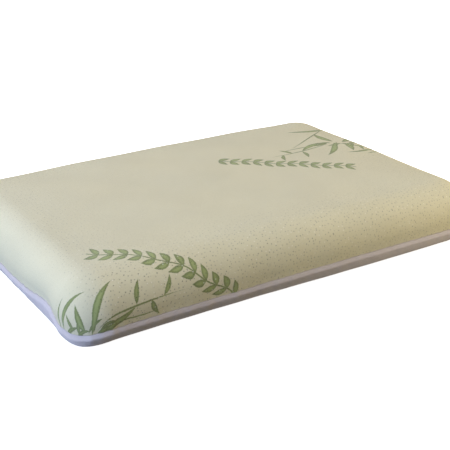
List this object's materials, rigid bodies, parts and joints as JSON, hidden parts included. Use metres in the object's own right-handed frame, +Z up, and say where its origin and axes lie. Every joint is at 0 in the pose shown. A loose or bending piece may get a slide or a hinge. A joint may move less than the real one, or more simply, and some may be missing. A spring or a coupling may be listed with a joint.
{
  "type": "bed pillow",
  "caption": "Rectangular memory-foam bed pillow with a round shoulder, in a two-tone knitted cover with a low seam and a zip along the back.",
  "frame": {"origin": "middle of the footprint, on the surface the pillow rests on", "axes": "+X along the long side, +Y across the pillow towards the side with the zip, +Z up"},
  "size_m": [0.6006, 0.4005, 0.086],
  "materials": {
    "foam": "open-cell viscoelastic polyurethane foam with fine pores",
    "liner_jersey": "thin white jersey",
    "liner_thread": "spun polyester thread",
    "top_knit": "cream jacquard knit with pinholes and a green leaf pattern",
    "bottom_knit": "plain off-white interlock knit",
    "seam_thread": "textured overlock thread",
    "zip_tape": "woven polyester tape",
    "zip_coil": "nylon coil",
    "top_thread": "spun polyester thread",
    "bottom_thread": "spun polyester thread",
    "zip_metal": "white enamelled zinc, satin",
    "label_satin": "woven satin, blank"
  },
  "bodies": {
    "pillow": {"foam_core": "foam", "liner_sock": "liner_jersey", "liner_seam_thread": "liner_thread", "cover_top_panel": "top_knit", "cover_bottom_panel": "bottom_knit", "cover_seam_thread": "seam_thread", "zip_tape_upper": "zip_tape", "zip_tape_lower": "zip_tape", "zip_coil_upper": "zip_coil", "zip_coil_lower": "zip_coil", "zip_stitching_upper": "top_thread", "zip_stitching_lower": "bottom_thread", "zip_top_stops": "zip_metal", "zip_bottom_stop": "zip_metal", "care_label": "label_satin"},
    "slider": {"zip_slider": "zip_metal"},
    "pull": {"zip_pull": "zip_metal"}
  },
  "joints": [
    {"name": "zip_slide", "type": "slide", "parent": "pillow", "child": "slider", "axis": [-1, 0, 0], "range_m": [0, 0.426]},
    {"name": "pull_hinge", "type": "hinge", "parent": "slider", "child": "pull", "pos_m": [0.218, 0.19864, 0.025], "axis": [0, 0, -1], "range_deg": [0, 165]}
  ]
}
